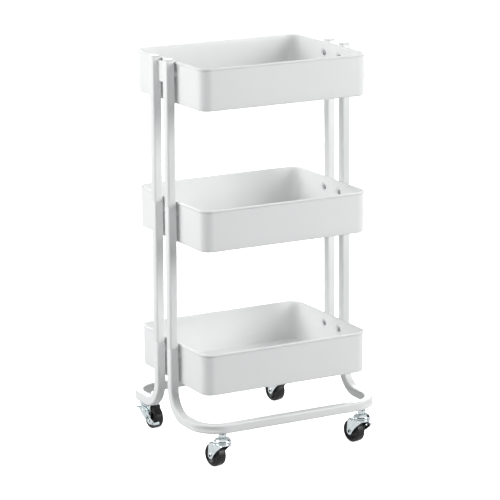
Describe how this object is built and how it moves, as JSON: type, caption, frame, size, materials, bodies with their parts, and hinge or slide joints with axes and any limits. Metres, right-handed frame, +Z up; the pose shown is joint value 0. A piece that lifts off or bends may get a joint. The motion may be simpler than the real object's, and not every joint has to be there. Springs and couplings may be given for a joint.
{
  "type": "rolling utility cart",
  "caption": "White metal rolling cart with open trays between two bent-tube frames, on swivel casters, some with a rocker brake.",
  "frame": {"origin": "on the floor, under the middle of the cart: midway between the front and the rear frame and between the left and the right posts", "axes": "+Z up; +X along the long side of the trays, towards the right; -Y is the front"},
  "size_m": [0.4424, 0.4219, 0.854],
  "materials": {
    "white_powder_coat": "smooth white powder coat, semi-gloss",
    "white_plastic": "white moulded plastic, satin",
    "zinc_plate": "bright zinc plate with a slight blue tint",
    "bolt_steel": "plain steel button head, satin",
    "black_wheel_plastic": "black moulded plastic, satin"
  },
  "bodies": {
    "cart": {"front_base_frame": "white_powder_coat", "rear_base_frame": "white_powder_coat", "front_left_middle_post": "white_powder_coat", "front_left_upper_post": "white_powder_coat", "front_left_post_cap": "white_plastic", "front_right_middle_post": "white_powder_coat", "front_right_upper_post": "white_powder_coat", "front_right_post_cap": "white_plastic", "rear_left_middle_post": "white_powder_coat", "rear_left_upper_post": "white_powder_coat", "rear_left_post_cap": "white_plastic", "rear_right_middle_post": "white_powder_coat", "rear_right_upper_post": "white_powder_coat", "rear_right_post_cap": "white_plastic", "left_post_bridge": "white_plastic", "right_post_bridge": "white_plastic", "bottom_tray": "white_powder_coat", "middle_tray": "white_powder_coat", "top_tray": "white_powder_coat", "bottom_front_left_bolt": "bolt_steel", "bottom_front_right_bolt": "bolt_steel", "bottom_rear_left_bolt": "bolt_steel", "bottom_rear_right_bolt": "bolt_steel", "middle_front_left_bolt": "bolt_steel", "middle_front_right_bolt": "bolt_steel", "middle_rear_left_bolt": "bolt_steel", "middle_rear_right_bolt": "bolt_steel", "top_front_left_bolt": "bolt_steel", "top_front_right_bolt": "bolt_steel", "top_rear_left_bolt": "bolt_steel", "top_rear_right_bolt": "bolt_steel", "front_left_caster_stem": "zinc_plate", "front_left_caster_nut": "zinc_plate", "front_left_caster_upper_race": "zinc_plate", "front_right_caster_stem": "zinc_plate", "front_right_caster_nut": "zinc_plate", "front_right_caster_upper_race": "zinc_plate", "rear_right_caster_stem": "zinc_plate", "rear_right_caster_nut": "zinc_plate", "rear_right_caster_upper_race": "zinc_plate", "rear_left_caster_stem": "zinc_plate", "rear_left_caster_nut": "zinc_plate", "rear_left_caster_upper_race": "zinc_plate"},
    "front_left_fork": {"front_left_caster_fork": "zinc_plate", "front_left_caster_axle": "zinc_plate"},
    "front_left_wheel": {"front_left_caster_wheel": "black_wheel_plastic"},
    "front_right_fork": {"front_right_caster_fork": "zinc_plate", "front_right_caster_axle": "zinc_plate", "front_right_brake_rivet": "zinc_plate"},
    "front_right_wheel": {"front_right_caster_wheel": "black_wheel_plastic"},
    "front_right_brake": {"front_right_brake_lever": "zinc_plate"},
    "rear_right_fork": {"rear_right_caster_fork": "zinc_plate", "rear_right_caster_axle": "zinc_plate"},
    "rear_right_wheel": {"rear_right_caster_wheel": "black_wheel_plastic"},
    "rear_left_fork": {"rear_left_caster_fork": "zinc_plate", "rear_left_caster_axle": "zinc_plate", "rear_left_brake_rivet": "zinc_plate"},
    "rear_left_wheel": {"rear_left_caster_wheel": "black_wheel_plastic"},
    "rear_left_brake": {"rear_left_brake_lever": "zinc_plate"}
  },
  "joints": [
    {"name": "front_left_swivel", "type": "hinge", "parent": "cart", "child": "front_left_fork", "pos_m": [-0.17, -0.1765, 0.0577], "axis": [0, 0, 1], "continuous": true},
    {"name": "front_left_wheel_spin", "type": "hinge", "parent": "front_left_fork", "child": "front_left_wheel", "pos_m": [-0.17444, -0.1523, 0.025], "axis": [-0.9836, -0.1805, 0], "continuous": true},
    {"name": "front_right_swivel", "type": "hinge", "parent": "cart", "child": "front_right_fork", "pos_m": [0.17, -0.1765, 0.0577], "axis": [0, 0, 1], "continuous": true},
    {"name": "front_right_wheel_spin", "type": "hinge", "parent": "front_right_fork", "child": "front_right_wheel", "pos_m": [0.16556, -0.1523, 0.025], "axis": [-0.9836, -0.1805, 0], "continuous": true},
    {"name": "front_right_brake_press", "type": "hinge", "parent": "front_right_fork", "child": "front_right_brake", "pos_m": [0.18323, -0.15882, 0.0395], "axis": [-0.9836, -0.1805, 0], "range_deg": [0, 9]},
    {"name": "rear_right_swivel", "type": "hinge", "parent": "cart", "child": "rear_right_fork", "pos_m": [0.17, 0.1765, 0.0577], "axis": [0, 0, 1], "continuous": true},
    {"name": "rear_right_wheel_spin", "type": "hinge", "parent": "rear_right_fork", "child": "rear_right_wheel", "pos_m": [0.16556, 0.2007, 0.025], "axis": [-0.9836, -0.1805, 0], "continuous": true},
    {"name": "rear_left_swivel", "type": "hinge", "parent": "cart", "child": "rear_left_fork", "pos_m": [-0.17, 0.1765, 0.0577], "axis": [0, 0, 1], "continuous": true},
    {"name": "rear_left_wheel_spin", "type": "hinge", "parent": "rear_left_fork", "child": "rear_left_wheel", "pos_m": [-0.16769, 0.15201, 0.025], "axis": [0.9956, 0.0941, 0], "continuous": true},
    {"name": "rear_left_brake_press", "type": "hinge", "parent": "rear_left_fork", "child": "rear_left_brake", "pos_m": [-0.18472, 0.16004, 0.0395], "axis": [0.9956, 0.0941, 0], "range_deg": [0, 9]}
  ]
}
